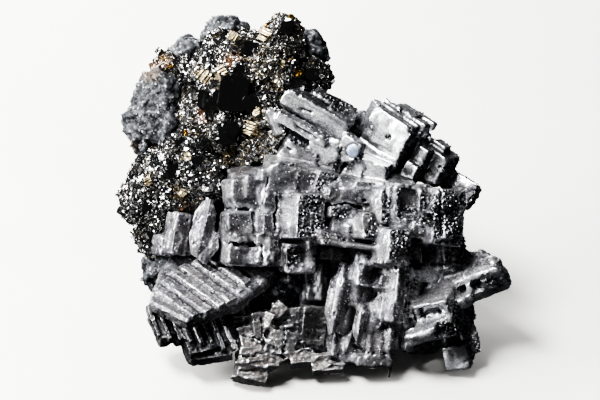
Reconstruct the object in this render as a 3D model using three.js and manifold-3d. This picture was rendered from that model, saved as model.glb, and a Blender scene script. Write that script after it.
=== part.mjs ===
// A hand specimen of galena, the heavy grey lead sulphide: blocky crystals twinned and grown
// through one another, on massive grey ore with a crust of black sparkling sphalerite.
// Millimetres, +Z up, standing on a flat broken base, origin under the middle of its box.
import * as THREE from "three";
import { ConvexGeometry } from "three/addons/geometries/ConvexGeometry.js";
import { mergeVertices } from "three/addons/utils/BufferGeometryUtils.js";
import Module from "manifold-3d";

const wasm = await Module();
wasm.setup();

// The crystals are placed in the frame of the specimen's display face, which leans back:
// [right, up the face, out of the face], with zero at the middle of the face.
const LEAN = 30; // degrees by which the display face looks up
const BASE_DROP = 30; // the flat base lies this far under the middle of the face
const SEAM = 0.35; // the open seam between one piece and the next
const CORNER_CUT = 0.16; // a corner's octahedron face, as a share of the crystal's shortest edge
const SPEAR_TIP = 0.28; // the share of a spear's length over which each end draws in
const TIP_WIDTH = 0.35; // the width left at a spear's blunt end, as a share of its own
const LUMP_ROLL = 0.11; // how far a lump's broad swells stand out, as a share of its radius
const LUMP_KNOB = 0.07; // and its small knobs

// A closed three.js geometry, put where the matrix says, as a solid that can be joined and cut.
function solidFrom(geometry, matrix) {
  geometry.deleteAttribute("normal");
  geometry.deleteAttribute("uv");
  const merged = mergeVertices(geometry, 1e-4);
  const solid = new wasm.Manifold(new wasm.Mesh({
    numProp: 3,
    vertProperties: merged.attributes.position.array,
    triVerts: new Uint32Array(merged.index.array),
  }));
  return solid.transform(matrix.elements);
}

const shift = (x, y, z) => new THREE.Matrix4().makeTranslation(x, y, z);
const joined = (solids) => wasm.Manifold.union(solids);
const largest = (solid) => solid.decompose().sort((a, b) => b.volume() - a.volume())[0];

// Where a crystal lies. Its turn is in degrees, about x, then y, then z, and hold names the spot of it,
// in halves of its size, that sits at the place given. A crystal within another is placed in its frame.
function placed({ at, size, turn = [0, 0, 0], hold = [0, 0, 0], within }) {
  const angles = turn.map(THREE.MathUtils.degToRad);
  const turned = new THREE.Matrix4().makeRotationFromEuler(new THREE.Euler(...angles, "ZYX"));
  const place = shift(...at).multiply(turned).multiply(shift(...hold.map((h, i) => (-h * size[i]) / 2)));
  return within ? place.premultiply(placed(within)) : place;
}

// A cube-faced block whose eight corners are cut by small octahedron faces.
function blockGeometry([x, y, z], cut) {
  if (!cut) {
    return new THREE.BoxGeometry(x, y, z);
  }
  const points = [];
  for (const i of [-0.5, 0.5]) {
    for (const j of [-0.5, 0.5]) {
      for (const k of [-0.5, 0.5]) {
        points.push(new THREE.Vector3(i * (x - 2 * cut), j * y, k * z));
        points.push(new THREE.Vector3(i * x, j * (y - 2 * cut), k * z));
        points.push(new THREE.Vector3(i * x, j * y, k * (z - 2 * cut)));
      }
    }
  }
  return new ConvexGeometry(points);
}

// A tablet whose outline is given as corners [x, z] seen from above, its flat faces a little drawn in.
function tabletGeometry(corners, height, cut) {
  const points = [];
  for (const [x, z] of corners) {
    const reach = 1 - cut / Math.hypot(x, z);
    for (const side of [-0.5, 0.5]) {
      points.push(new THREE.Vector3(x, side * (height - 2 * cut), z));
      points.push(new THREE.Vector3(x * reach, side * height, z * reach));
    }
  }
  return new ConvexGeometry(points);
}

// A spear: a four-sided prism, edge towards the viewer, drawn in to a blunt tip at each end.
function spearGeometry([x, y, z]) {
  const points = [];
  const shoulder = y / 2 - SPEAR_TIP * y;
  const rings = [[-y / 2, TIP_WIDTH], [-shoulder, 1], [shoulder, 1], [y / 2, TIP_WIDTH]];
  for (const [height, share] of rings) {
    for (const side of [-0.5, 0.5]) {
      points.push(new THREE.Vector3(side * share * x, height, 0));
      points.push(new THREE.Vector3(0, height, side * share * z));
    }
  }
  return new ConvexGeometry(points);
}

function crystalGeometry({ size, spear, plan, cut = CORNER_CUT }) {
  if (spear) {
    return spearGeometry(size);
  }
  const trim = cut * Math.min(...size);
  return plan ? tabletGeometry(plan, size[1], trim) : blockGeometry(size, trim);
}

// The hollow of a hopper: a square pit with one step inside it, sunk in the face that looks along
// the axis named. Its span is [across, up the face].
function hopper(size, { axis, side = 1, span, depth, off = [0, 0] }, place) {
  const step = (share, reach) => {
    const [wide, high] = span.map((s) => s * share);
    const box = axis === "x" ? [2 * reach, high, wide] : [wide, high, 2 * reach];
    const x = axis === "x" ? (side * size[0]) / 2 : off[0];
    const z = axis === "x" ? off[0] : (side * size[2]) / 2;
    return solidFrom(new THREE.BoxGeometry(...box), place.clone().multiply(shift(x, off[1], z)));
  };
  return step(1, depth * 0.45).add(step(0.68, depth));
}

// One crystal as a solid.
function crystal(spec) {
  const place = placed(spec);
  let solid = solidFrom(crystalGeometry(spec), place);
  for (const pit of spec.pits ?? []) {
    solid = solid.subtract(hopper(spec.size, pit, place));
  }
  return solid;
}

// The room that a crystal needs, with a seam's width free all round it.
function crystalRoom(spec) {
  const size = spec.size.map((s) => s + 2 * SEAM);
  const hold = (spec.hold ?? [0, 0, 0]).map((h, i) => (h * spec.size[i]) / size[i]);
  return solidFrom(crystalGeometry({ ...spec, size, cut: 0, plan: null }), placed({ ...spec, size, hold }));
}

// A lump of massive ore: a ball with a rolling, knobbly surface.
function lump({ at, radii, detail = 1 }, grow = 0) {
  const ball = new THREE.IcosahedronGeometry(1, detail);
  const position = ball.attributes.position;
  const point = new THREE.Vector3();
  const phase = at[0] * 1.7 + at[1] * 0.9;
  const [x, y, z] = radii.map((r) => r + grow);
  for (let i = 0; i < position.count; i++) {
    point.fromBufferAttribute(position, i).normalize();
    const roll = Math.sin(4.1 * point.x + phase) * Math.cos(3.7 * point.y - phase);
    const knob = Math.sin(8.3 * point.z + 2 * phase) * Math.sin(7.1 * point.x - phase);
    point.multiplyScalar(1 + LUMP_ROLL * roll + LUMP_KNOB * knob);
    position.setXYZ(i, point.x * x, point.y * y, point.z * z);
  }
  return solidFrom(ball, shift(...at));
}

// The upper slabs: tabular twins that run down to the right, flat faces towards the left.
const SLAB_TURN = [22, 0, -30];
const upperSlabs = [
  {
    at: [0.6, 18.4, 9], hold: [0, 1, 1], size: [14.8, 4.2, 11], turn: SLAB_TURN,
    plan: [[-7.4, 5.5], [7.4, 5.5], [7.4, -5.5], [0.8, -5.5]],
  },
  { at: [5.2, 17.2, 6], size: [5.4, 1.4, 3.4], turn: SLAB_TURN },
  { at: [2.6, 20.2, 3.2], size: [6, 1.4, 3], turn: SLAB_TURN },
  { at: [-2.5, 14.2, 9.1], size: [11.4, 2.3, 2.8], turn: SLAB_TURN },
  { at: [-8.1, 15.4, 7.4], size: [1.9, 5.4, 3], turn: [0, 10, 24] },
  { at: [-3.2, 9.8, 5], size: [7.4, 5, 6], turn: [30, 10, -28] },
  { at: [2, 9.4, 5], size: [6.4, 6.8, 6], turn: [24, -8, -20] },
  { at: [6.9, 10.1, 7], size: [4.6, 5, 4], turn: [14, -10, -34] },
  { at: [7.6, 9.9, 8.9], size: [2.7, 2.7, 1], turn: [14, -10, -34], cut: 0.3 },
];

// The corner cube at the upper right, and the broad pale face that it rises from.
const CUBE_TURN = [20, -20, -34];
const CUBE = { at: [19.2, 13.8, 9], size: [0, 0, 0], turn: CUBE_TURN }; // the cube's upper right front corner
const cornerCube = [
  {
    at: [0, 0, 0], hold: [1, 1, 1], size: [9.4, 9.6, 9.8], within: CUBE,
    pits: [{ axis: "z", span: [1.1, 1.1], depth: 1, off: [0.8, 0.7] }],
  },
  { at: [-4.8, 0.1, -3.2], size: [9.2, 1, 1.4], within: CUBE },
  { at: [-3.6, 0.1, -5.8], size: [8, 1.6, 2], within: CUBE },
  { at: [-3.2, 0.2, -8.6], size: [8.4, 1.8, 1.6], within: CUBE },
  { at: [-9.3, -3.4, -3.4], size: [2.6, 7.2, 4.2], turn: [0, -36, 0], within: CUBE },
  { at: [8.4, 5.2, 3.4], size: [12.4, 8.6, 6], turn: [16, -12, -20] },
  { at: [23.4, 7.4, 0], size: [7.8, 7.2, 7], turn: CUBE_TURN },
  { at: [21.4, 8.6, 3.6], size: [3.2, 3.4, 3], turn: CUBE_TURN },
  { at: [19.2, 6, 4.4], size: [3, 3, 3], turn: CUBE_TURN },
  { at: [25, 10.4, 1.6], size: [3.4, 2.4, 3], turn: CUBE_TURN },
  { at: [29.4, 1.8, -2], size: [6.4, 5.6, 4.4], turn: [0, -20, -34] },
];

// The central band: cubes in one setting, a bright face to the left and a rough one to the right.
const BAND_TURN = [0, 30, -2];
const centralBand = [
  { at: [-3.6, -2.9, 16], hold: [-1, 0, 1], size: [6.5, 8.6, 7.4], turn: BAND_TURN },
  { at: [-4, -7.3, 16.5], hold: [-1, 0, 1], size: [7.2, 0.9, 8.2], turn: BAND_TURN },
  { at: [14.2, -8.9, 17], hold: [-1, 0, 1], size: [5.6, 7, 6.6], turn: BAND_TURN },
  { at: [13.4, -12.4, 16.4], hold: [-1, 0, 1], size: [6.4, 1, 7.8], turn: BAND_TURN },
  {
    at: [23.2, -3.2, 14.4], hold: [-1, 0, 1], size: [7.4, 11.4, 9.4], turn: [0, 30, -6],
    pits: [{ axis: "x", side: -1, span: [2.6, 2.2], depth: 1.6, off: [2.6, -1] }],
  },
  {
    at: [18.2, -0.9, 8.6], size: [7.6, 8.4, 8], turn: [0, 12, -3],
    pits: [{ axis: "z", span: [4, 5.6], depth: 3, off: [-0.6, 0.2] }],
  },
  { at: [20.6, -6, 9.4], size: [6, 3.4, 6], turn: [0, 20, -14] },
  { at: [13.2, -1.6, 9.4], size: [4.4, 7.4, 6], turn: BAND_TURN },
  { at: [9.6, -5, 11.2], size: [3.4, 5.6, 5], turn: BAND_TURN },
  { at: [6, 0.1, 6.6], size: [9, 7.8, 8], turn: [0, 20, -2] },
  { at: [6.6, -8.6, 9.6], size: [13.4, 1.1, 9.4], turn: [4, 8, -7] },
  { at: [2.2, -6.6, 12.2], size: [4.6, 1.5, 4], turn: [10, 20, -16] },
  { at: [11, 2.6, 6.6], size: [17, 3.4, 9.6], turn: [24, 4, -2] },
  { at: [1.6, 3.2, 8.8], size: [5.8, 5.8, 5.4], turn: [6, 24, -12] },
  { at: [4.8, -5.8, 8.6], size: [5, 4.8, 6], turn: [0, 14, -6] },
  { at: [-5, 4.6, 8.2], size: [10.4, 6, 8], turn: [16, 12, -8] },
  { at: [-9.4, 1.6, 8.2], size: [4.6, 8.8, 7.4], turn: [0, 22, -2] },
  { at: [-14, 1.2, 7.2], size: [7.4, 6, 8], turn: [8, 20, 8] },
  { at: [-12.4, 4, 4.4], size: [9, 5, 8], turn: [24, 14, 12] },
  { at: [-14.8, -5.2, 8], size: [7, 6.4, 7], turn: [0, 20, 2] },
  { at: [-14.6, -11, 6.8], size: [8, 4.2, 7.4], turn: [0, 16, -3] },
  { at: [-9.6, -7.4, 8.2], size: [4.4, 11.4, 7.4], turn: BAND_TURN },
  { at: [-10.4, -7.4, 11.6], size: [0.9, 10.6, 1.6], turn: [0, 45, -3] },
  { at: [-9.1, -7.8, 11.9], size: [1, 11, 1.6], turn: [0, 45, -3] },
  {
    at: [-3.6, -11.5, 8.2], size: [6.4, 6, 7], turn: [0, 14, 0],
    pits: [{ axis: "z", span: [4.4, 4.4], depth: 0.9, off: [-0.2, 0] }],
  },
];

// The columns under the band: spears that stand edge out, side by side.
const COLUMN_TURN = [0, 45, -7];
const columns = [
  { at: [4.5, -19.4, 8], size: [5.4, 15.2, 5.6], turn: [0, 0, -11], spear: true },
  { at: [9.3, -13.4, 8.6], size: [3.4, 6, 3.6], turn: [0, 45, -18] },
  { at: [10.8, -17, 8.4], size: [7, 0.9, 4.6], turn: [0, 20, -10] },
  { at: [13.4, -15, 7.8], size: [2.4, 4.2, 2.4], turn: [0, 45, -20] },
  { at: [8, -18.8, 7.4], size: [2.6, 5, 3], turn: COLUMN_TURN },
  { at: [8.8, -24.4, 8.4], size: [3.4, 8.2, 3.6], turn: [0, 0, -8], spear: true },
  { at: [11, -22.2, 7.2], size: [3.6, 6.4, 3], turn: [0, 30, -6], spear: true },
  { at: [13, -21, 8], size: [3, 10.4, 3.4], turn: [0, 0, -9], spear: true },
  { at: [16, -18.2, 8.8], size: [3.8, 12.6, 4], turn: [0, 40, -9] },
  { at: [18.6, -18.4, 6], size: [3, 10, 4], turn: [0, 30, -6] },
  { at: [10.8, -27.4, 6.8], size: [2.4, 8, 2.8], turn: [0, 0, -3], spear: true },
  { at: [12.7, -27.8, 7], size: [2.2, 8, 2.6], turn: [0, 0, -2], spear: true },
  { at: [14.6, -27.2, 6.8], size: [2.4, 8.4, 2.8], turn: [0, 0, -2], spear: true },
  { at: [6.6, -28, 5.6], size: [2.6, 6, 2.8], turn: [0, 0, -16], spear: true },
  { at: [4, -29, 4.6], size: [2.4, 5, 2.8], turn: [0, 30, -10] },
  { at: [-1.6, -16.2, 2.6], size: [3, 7.6, 3], turn: [0, 45, 4] },
  { at: [1, -16.4, 3.4], size: [2.6, 8, 3], turn: [0, 45, -3] },
  { at: [2.6, -10.6, 4], size: [5, 2.6, 8], turn: [0, 10, -4] },
  { at: [8, -19, -2.4], size: [23, 22, 9], turn: [0, 4, 0], cut: 0 },
  { at: [11.6, -31.6, 4.6], size: [8, 2.6, 5.4], turn: [10, 8, -2] },
  { at: [6, -31, 2.6], size: [6, 3, 5], turn: [0, -10, 6] },
  { at: [18.4, -28.6, 4.6], size: [2.6, 3, 2.4], turn: [0, 30, -14] },
];

// The right arms: two hollow blocks that reach out to the right, and the pieces below them.
const rightArms = [
  {
    at: [30.4, -15.7, 8], hold: [0, 1, 1], size: [13.2, 7.6, 8.4], turn: [42, -16, 22],
    plan: [[-6.6, 4.2], [6.6, 4.2], [6.6, 0.6], [3, -4.2], [-6.6, -4.2]],
    pits: [{ axis: "z", span: [6.6, 3], depth: 2.6, off: [-0.4, 1] }],
  },
  { at: [29.4, -19.8, 6.6], size: [4.4, 2.4, 3], turn: [30, -16, 22] },
  {
    at: [21.9, -20.4, 11], hold: [0, 1, 1], size: [8.2, 8.4, 9.4], turn: [22, -24, 12],
    pits: [{ axis: "z", span: [6.6, 3], depth: 3, off: [-0.6, 1.8] }],
  },
  { at: [20.8, -25.8, 9.4], size: [7.2, 1.4, 3], turn: [22, -24, 18] },
  { at: [21.2, -27.2, 8.6], size: [6.6, 1.4, 3], turn: [22, -24, 18] },
  { at: [21.2, -12.4, 3], size: [4.6, 8, 5], turn: [0, 40, -2] },
  { at: [26.4, -10.6, 1.6], size: [6.4, 6.4, 6], turn: [0, 34, 6] },
  { at: [23, -18, -2], size: [15, 14, 10], turn: [0, 10, 10], cut: 0 },
  { at: [29.8, -26.4, 0.6], size: [4, 9.6, 4.4], turn: [0, 24, 14] },
  { at: [28.4, -31, 1.6], size: [5.4, 5.4, 5], turn: [10, -12, 8] },
  { at: [27.4, -24, -1], size: [5, 10, 5], turn: [0, 10, 4] },
];

// The striated crystal: a twin plate whose broad face looks up, crossed by growth bars, over a
// block with ribbed sides.
const PLATE = { at: [-20.4, -17, 7.6], size: [0, 0, 0], turn: [-50, -6, -2] };
const PLATE_THICKNESS = 2.2;
const PLATE_BEVEL = 0.5;
const PLATE_REACH = 9; // half the plate's shorter width
const plateOutline = [
  [-9, 8.7], [-0.8, 10.2], [12, 4.6], [5.4, -4.4], [-3.8, -10.4], [-11.4, -5.4], [-10.8, 3],
];
const plateBlocks = [
  { at: [-29.2, -24.6, 4.2], size: [6.4, 6.6, 8], turn: [-14, 10, 22] },
  { at: [-22.6, -26.6, 4.6], size: [8.4, 9, 9], turn: [-14, 10, 18] },
  { at: [-20.6, -31.2, 5.4], size: [8.4, 1.6, 6.4], turn: [-14, 0, 8] },
  { at: [-27.6, -24.4, 5.4], size: [4, 8, 6], turn: [-14, 30, 30] },
  { at: [-20, -22, 0], size: [14, 10, 9], turn: [-10, 0, 14], cut: 0 },
];

// The growth bars run side by side across the broad face, the middle ones longest.
const BAR_TURN = -42; // degrees from the face's own x
const BAR_STEP = 2.7;
const barAcross = THREE.MathUtils.degToRad(BAR_TURN + 90);
const growthBars = [-2.6, -1.6, -0.6, 0.4, 1.4, 2.4].map((n, i) => ({
  at: [Math.cos(barAcross) * n * BAR_STEP - 1.6, Math.sin(barAcross) * n * BAR_STEP - 0.4, 0.3],
  size: [16 - Math.abs(n) * 1.6, 1.7 + 0.3 * (i % 2), 1.3 + 0.3 * (i % 3)],
  turn: [0, 0, BAR_TURN],
  within: PLATE,
}));

// The ribs stand side by side down the front of the blocks, lower towards the right, and a swell
// pushes some of them further out.
const RIB_STEP = [2.1, -0.35];
const RIB_SWELL = 0.6;
const ribs = [0, 1, 0, 1, 2, 1, 2, 1].map((swell, i) => ({
  at: [-32 + i * RIB_STEP[0], -24 + i * RIB_STEP[1], 7.6 + swell * RIB_SWELL],
  size: [1, 7 + 0.4 * swell, 2.6],
  turn: [-14, 10, 20],
}));

function plateSolid(grow = 0) {
  const spread = 1 + grow / PLATE_REACH;
  const shape = new THREE.Shape(plateOutline.map(([x, y]) => new THREE.Vector2(x * spread, y * spread)));
  const geometry = new THREE.ExtrudeGeometry(shape, {
    depth: PLATE_THICKNESS + grow,
    bevelThickness: PLATE_BEVEL,
    bevelSize: PLATE_BEVEL,
    bevelSegments: 1,
  });
  return solidFrom(geometry, placed(PLATE).multiply(shift(0, 0, -PLATE_THICKNESS)));
}

const plateGrowths = [...growthBars, ...plateBlocks, ...ribs];

// The spear crystals at the left, between the crust and the striated crystal.
const leftSpears = [
  { at: [-22.2, -5.4, 7], size: [5.4, 12.4, 5.6], turn: [0, 12, -14], spear: true },
  { at: [-20.4, -9, 5.6], size: [2.2, 8, 5], turn: [0, 12, -36] },
  { at: [-27.6, -6.6, 3.6], size: [3.8, 8.6, 5], turn: [0, 30, -8] },
  { at: [-30.6, -9, 1.6], size: [2.8, 4.4, 5], turn: [0, 30, -4] },
  { at: [-24.6, -7, 1.4], size: [9, 8, 5], turn: [0, 8, 0], cut: 0 },
];

// The flaky crystals at the foot: plates stacked askew.
const footFlakes = [
  { at: [-12.6, -28.4, 5.4], size: [5, 7.4, 4], turn: [-20, 14, 12] },
  { at: [-12.2, -32, 6], size: [7, 4, 5.4], turn: [-24, 10, -10] },
  { at: [-12.8, -35, 5.6], size: [6.4, 2.6, 6], turn: [-16, 6, -14] },
  { at: [-11.6, -24.4, 6.4], size: [2.4, 4.4, 2.4], turn: [0, 20, 8] },
  { at: [-9.4, -23.8, 6], size: [2.4, 3.4, 2], turn: [0, -20, -28] },
  { at: [-7.6, -27.4, 6.6], size: [3.6, 3.6, 2.4], turn: [-10, 10, -18] },
  { at: [-5.4, -28.6, 5.6], size: [2.8, 5.4, 2.2], turn: [-10, 20, -22] },
  { at: [-7.4, -22, 4.4], size: [2.8, 3.4, 3.4], turn: [-10, 0, -40] },
  { at: [-8, -30.6, 4.6], size: [5.4, 5, 4.6], turn: [-10, 20, 30] },
  { at: [-2.8, -31.6, 4], size: [5, 2.8, 5], turn: [-14, 8, 6] },
  { at: [2.4, -32.4, 4.6], size: [6.4, 4, 3], turn: [-20, 4, 4] },
  { at: [-1, -24.8, 2.6], size: [5.4, 8, 4.6], turn: [0, 24, -6] },
  { at: [-14.2, -23.4, 3.4], size: [2.6, 6, 4], turn: [0, 30, 12] },
  { at: [-9, -27, 1], size: [12, 10, 7], turn: [0, 6, 8], cut: 0 },
];

// The crust of sphalerite over the upper left, as rounded domes.
const crustLumps = [
  { at: [-14.8, 17, -5], radii: [13.4, 17, 10.8], detail: 2 },
  { at: [-29.4, 1.8, -4.4], radii: [9.4, 10, 9], detail: 2 },
  { at: [-6.2, 32, -4.4], radii: [4.6, 5.6, 5] },
  { at: [-15, 29, -6], radii: [5.4, 5.2, 5] },
  { at: [-29.6, 26, -7], radii: [4, 3.8, 4] },
  { at: [-24.4, 25, -5], radii: [4.4, 3.8, 4.4] },
  { at: [-0.4, 25, -6], radii: [4, 4, 4.4] },
  { at: [-9.4, 14, 1], radii: [5.4, 8.4, 5.6] },
  { at: [-10.4, 24.6, -3], radii: [8.4, 8, 8] },
  { at: [-32, -6.4, -5], radii: [4.4, 5.4, 7] },
  { at: [-24, 6, 0], radii: [9.4, 8.4, 6.4] },
];

// Large flat-faced sphalerite crystals that stand out of the crust.
const crustCrystals = [
  { at: [-17, 20.4, 3.4], size: [6, 7.4, 5], turn: [-14, 10, 24], cut: 0.34 },
  { at: [-18, 13.4, 4], size: [5.4, 6.6, 5], turn: [10, 14, -10], cut: 0.34 },
  { at: [-13.4, 10.4, 5], size: [4, 3, 3], turn: [10, 20, -20], cut: 0.3 },
  { at: [-7.4, 27.4, 2], size: [5, 2, 4], turn: [20, 10, -20], cut: 0.3 },
  { at: [-22, 24.4, 1.4], size: [6, 4, 4], turn: [10, -10, 30], cut: 0.3 },
];

// Massive grey ore: the body behind the crystals, the lumps that show past the crust,
// and the stepped cleavage blocks of the broken back.
const oreLumps = [
  { at: [-4, -2, -12], radii: [27, 23, 12] },
  { at: [16, -12, -9], radii: [15, 14, 12] },
  { at: [-13, 17, -10], radii: [17, 16, 9] },
  { at: [-1, -18, -16], radii: [25, 14, 16.4] },
  { at: [-17.8, 33.2, -8], radii: [5, 4.4, 5.4] },
  { at: [-25.4, 29.6, -9], radii: [4.6, 3.8, 5] },
  { at: [-30, 17, -7], radii: [8.6, 10.6, 8.4] },
  { at: [-0.8, 30.8, -9], radii: [3.6, 4, 3.6] },
  { at: [10, 9.4, -7], radii: [15, 8.6, 8] },
  { at: [-29.4, -13, -10], radii: [6, 6.4, 7] },
  { at: [-5.4, -16.4, -1.4], radii: [5.4, 5.4, 6.6] },
  { at: [21.4, -27, -7], radii: [5.4, 4.6, 7] },
];
const backBlocks = [
  { at: [8, 9, -14], size: [18, 14, 9], turn: [8, -12, 10], cut: 0.1 },
  { at: [-14, 15, -17], size: [16, 17, 8], turn: [-6, 14, -8], cut: 0.1 },
  { at: [-20, -2, -18], size: [15, 14, 11], turn: [4, 20, 12], cut: 0.1 },
  { at: [2, -2, -21], size: [19, 12, 8], turn: [12, 6, -14], cut: 0.1 },
  { at: [18, -6, -17], size: [12, 14, 11], turn: [0, -24, 6], cut: 0.1 },
  { at: [-8, 8, -22], size: [10, 9, 6], turn: [10, 10, 24], cut: 0.1 },
];

// Each piece with its solid, and the room that its crystals take from the pieces named after it.
const galena = (roughness, color) => new THREE.MeshStandardMaterial({ color, roughness, metalness: 0.9 });
const sphalerite = new THREE.MeshStandardMaterial({ color: 0x1d1a17, roughness: 0.25, metalness: 0.2 });
const clusterCrystals = [...upperSlabs, ...cornerCube, ...centralBand, ...columns, ...rightArms];
const pieces = [
  {
    name: "galena_cluster",
    material: galena(0.42, 0x6d7078),
    solids: clusterCrystals.map(crystal),
    room: clusterCrystals.map(crystalRoom),
  },
  {
    name: "striated_galena_crystal",
    material: galena(0.45, 0x7b7d84),
    solids: [plateSolid(), ...plateGrowths.map(crystal)],
    room: [plateSolid(SEAM), ...plateGrowths.map(crystalRoom)],
  },
  {
    name: "galena_spears",
    material: galena(0.42, 0x6d7078),
    solids: leftSpears.map(crystal),
    room: leftSpears.map(crystalRoom),
  },
  {
    name: "galena_flakes",
    material: galena(0.45, 0x85868b),
    solids: footFlakes.map(crystal),
    room: footFlakes.map(crystalRoom),
  },
  {
    name: "sphalerite_crust",
    material: sphalerite,
    solids: [...crustLumps.map((spec) => lump(spec)), ...crustCrystals.map(crystal)],
    room: [...crustLumps.map((spec) => lump(spec, SEAM)), ...crustCrystals.map(crystalRoom)],
  },
  {
    name: "massive_ore",
    material: galena(0.6, 0x5d6069),
    solids: [...oreLumps.map((spec) => lump(spec)), ...backBlocks.map(crystal)],
    room: [],
  },
];

// The display face leans back on the stand-up group, and what would reach under the base is cut flat.
const displayFace = new THREE.Group();
displayFace.rotation.x = THREE.MathUtils.degToRad(90 - LEAN);
displayFace.position.z = BASE_DROP;
const up = new THREE.Vector3(0, 0, 1).applyQuaternion(displayFace.quaternion.clone().invert());
const taken = [];
for (const { name, material, solids, room } of pieces) {
  const whole = joined(solids).subtract(joined(taken));
  taken.push(...room);
  const { vertProperties, triVerts } = largest(whole.trimByPlane(up.toArray(), -BASE_DROP)).getMesh();
  const geometry = new THREE.BufferGeometry();
  geometry.setAttribute("position", new THREE.BufferAttribute(vertProperties, 3));
  geometry.setIndex(new THREE.BufferAttribute(triVerts, 1));
  geometry.computeVertexNormals();
  const mesh = new THREE.Mesh(geometry, material);
  mesh.name = name;
  displayFace.add(mesh);
}

// The origin goes under the middle of the whole specimen's box.
const middle = new THREE.Box3().setFromObject(displayFace, true).getCenter(new THREE.Vector3());
displayFace.position.x = -middle.x;
displayFace.position.y = -middle.y;

const specimen = new THREE.Group();
specimen.add(displayFace);

export default specimen;
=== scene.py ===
# %% [markdown]
# A hand specimen of galena, the heavy grey ore of lead. Its cubes twinned and pushed through one
# another as they grew, and many stayed hollow or stepped, because a crystal's edges take up metal
# faster than the middles of its faces. Black sphalerite, the ore of zinc, crusts the upper left.
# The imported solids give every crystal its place. This script gives them their growth and finish.

# %% The frame
import math
import random
from functools import partial

import bmesh
import bpy
import numpy as np
from mathutils import Euler, Matrix, Vector, noise
from mathutils.bvhtree import BVHTree


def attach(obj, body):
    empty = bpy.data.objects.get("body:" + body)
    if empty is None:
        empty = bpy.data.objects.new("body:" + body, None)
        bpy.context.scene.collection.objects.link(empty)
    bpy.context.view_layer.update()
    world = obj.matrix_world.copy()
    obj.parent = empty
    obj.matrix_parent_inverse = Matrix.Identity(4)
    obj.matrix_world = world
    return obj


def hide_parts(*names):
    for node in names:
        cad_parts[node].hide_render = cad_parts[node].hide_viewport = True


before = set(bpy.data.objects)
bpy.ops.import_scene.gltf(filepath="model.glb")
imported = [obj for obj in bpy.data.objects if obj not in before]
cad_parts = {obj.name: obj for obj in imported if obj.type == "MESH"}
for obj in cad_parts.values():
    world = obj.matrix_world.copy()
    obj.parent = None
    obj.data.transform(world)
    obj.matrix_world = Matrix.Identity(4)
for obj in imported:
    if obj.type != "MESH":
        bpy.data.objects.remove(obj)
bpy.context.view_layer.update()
MM = 0.001
print("solids:", sorted(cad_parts))

# %% [markdown]
# The camera comes first. The photograph was taken with a long lens, looking down on the display
# face, so straight edges hardly converge. A long lens keeps the crystals' true proportions, and
# lets a distance across the picture be read as a distance on the specimen.

# %% The camera
PHOTO_SIZE = (600, 400)
FRAME_WIDTH = 120 * MM  # what the photograph's width takes in at the specimen
PIXEL_MM = FRAME_WIDTH / PHOTO_SIZE[0] / MM
LOOK_DOWN = math.radians(30)
LENS = 180
SENSOR = 36
AIM = Vector((-2.9, -3.0, 30)) * MM  # the point in the middle of the photograph

right = Vector((1, 0, 0))
up = Vector((0, math.sin(LOOK_DOWN), math.cos(LOOK_DOWN)))
out = Vector((0, -math.cos(LOOK_DOWN), math.sin(LOOK_DOWN)))
camera_at = AIM + out * (LENS / SENSOR * FRAME_WIDTH)

camera_data = bpy.data.cameras.new("camera")
camera_data.lens = LENS
camera_data.sensor_width = SENSOR
camera_data.clip_start = 0.01
camera = bpy.data.objects.new("camera", camera_data)
bpy.context.scene.collection.objects.link(camera)
camera.matrix_world = Matrix.Translation(camera_at) @ Matrix((right, up, out)).transposed().to_4x4()
bpy.context.scene.camera = camera
print("camera stands", round(camera_at.length, 3), "m off")

# %% [markdown]
# Some marks on the specimen are easiest to name by where they are seen. These two helpers go
# between a pixel of the photograph and a place on the specimen, whichever way is needed.

# %% Pixels and places
def photo_ray(x, y):
    """The direction from the camera through a pixel of the photograph."""
    across = (x - PHOTO_SIZE[0] / 2) * PIXEL_MM * MM
    rise = (PHOTO_SIZE[1] / 2 - y) * PIXEL_MM * MM
    return (AIM + right * across + up * rise - camera_at).normalized()


def seen_at(points):
    """The pixel at which each point, a row in metres, is seen."""
    off = points - np.array(camera_at)
    scale = LENS / SENSOR * PHOTO_SIZE[0] / -(off @ np.array(out))
    x = PHOTO_SIZE[0] / 2 + off @ np.array(right) * scale
    y = PHOTO_SIZE[1] / 2 - off @ np.array(up) * scale
    return np.stack((x, y), axis=1)


def near_spots(points, spots):
    """How near each point is seen to any spot, from 0 to 1. A spot is a pixel x, y and its reach."""
    pixels = seen_at(points)
    near = np.zeros(len(points))
    for x, y, reach in spots:
        off = np.hypot(pixels[:, 0] - x, pixels[:, 1] - y) / reach
        near = np.maximum(near, np.exp(-off ** 4))
    return near


print("the aim is seen at", seen_at(np.array([AIM])).round(1))

# %% [markdown]
# Polished metal shows what is round it, so its light matters more than its colour. Two soft boxes on
# the left, one low and one high, make the faces turned that way bright. Nothing answers them on the
# right, so the faces turned there stay black. A weak panel in front opens the shadows a little, a
# small light behind draws the thin lines along the ridges, and a large one lights the back.

# %% Light
WORLD_GREY = (0.06, 0.061, 0.064, 1)
world = bpy.data.worlds.new("dim studio")
bpy.context.scene.world = world
world.use_nodes = True
world.node_tree.nodes["Background"].inputs["Color"].default_value = WORLD_GREY


def soft_box(name, place, size, watts):
    """A rectangular studio light at a place in millimetres, turned to the specimen and out of sight."""
    data = bpy.data.lights.new(name, "AREA")
    data.shape = "RECTANGLE"
    data.size, data.size_y = (s * MM for s in size)
    data.energy = watts
    light = bpy.data.objects.new(name, data)
    spot = Vector(place) * MM
    turn = (AIM - spot).to_track_quat("-Z", "Y").to_matrix().to_4x4()
    light.matrix_world = Matrix.Translation(spot) @ turn
    light.visible_camera = False
    bpy.context.scene.collection.objects.link(light)
    print(name, "gives", watts, "W")


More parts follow.
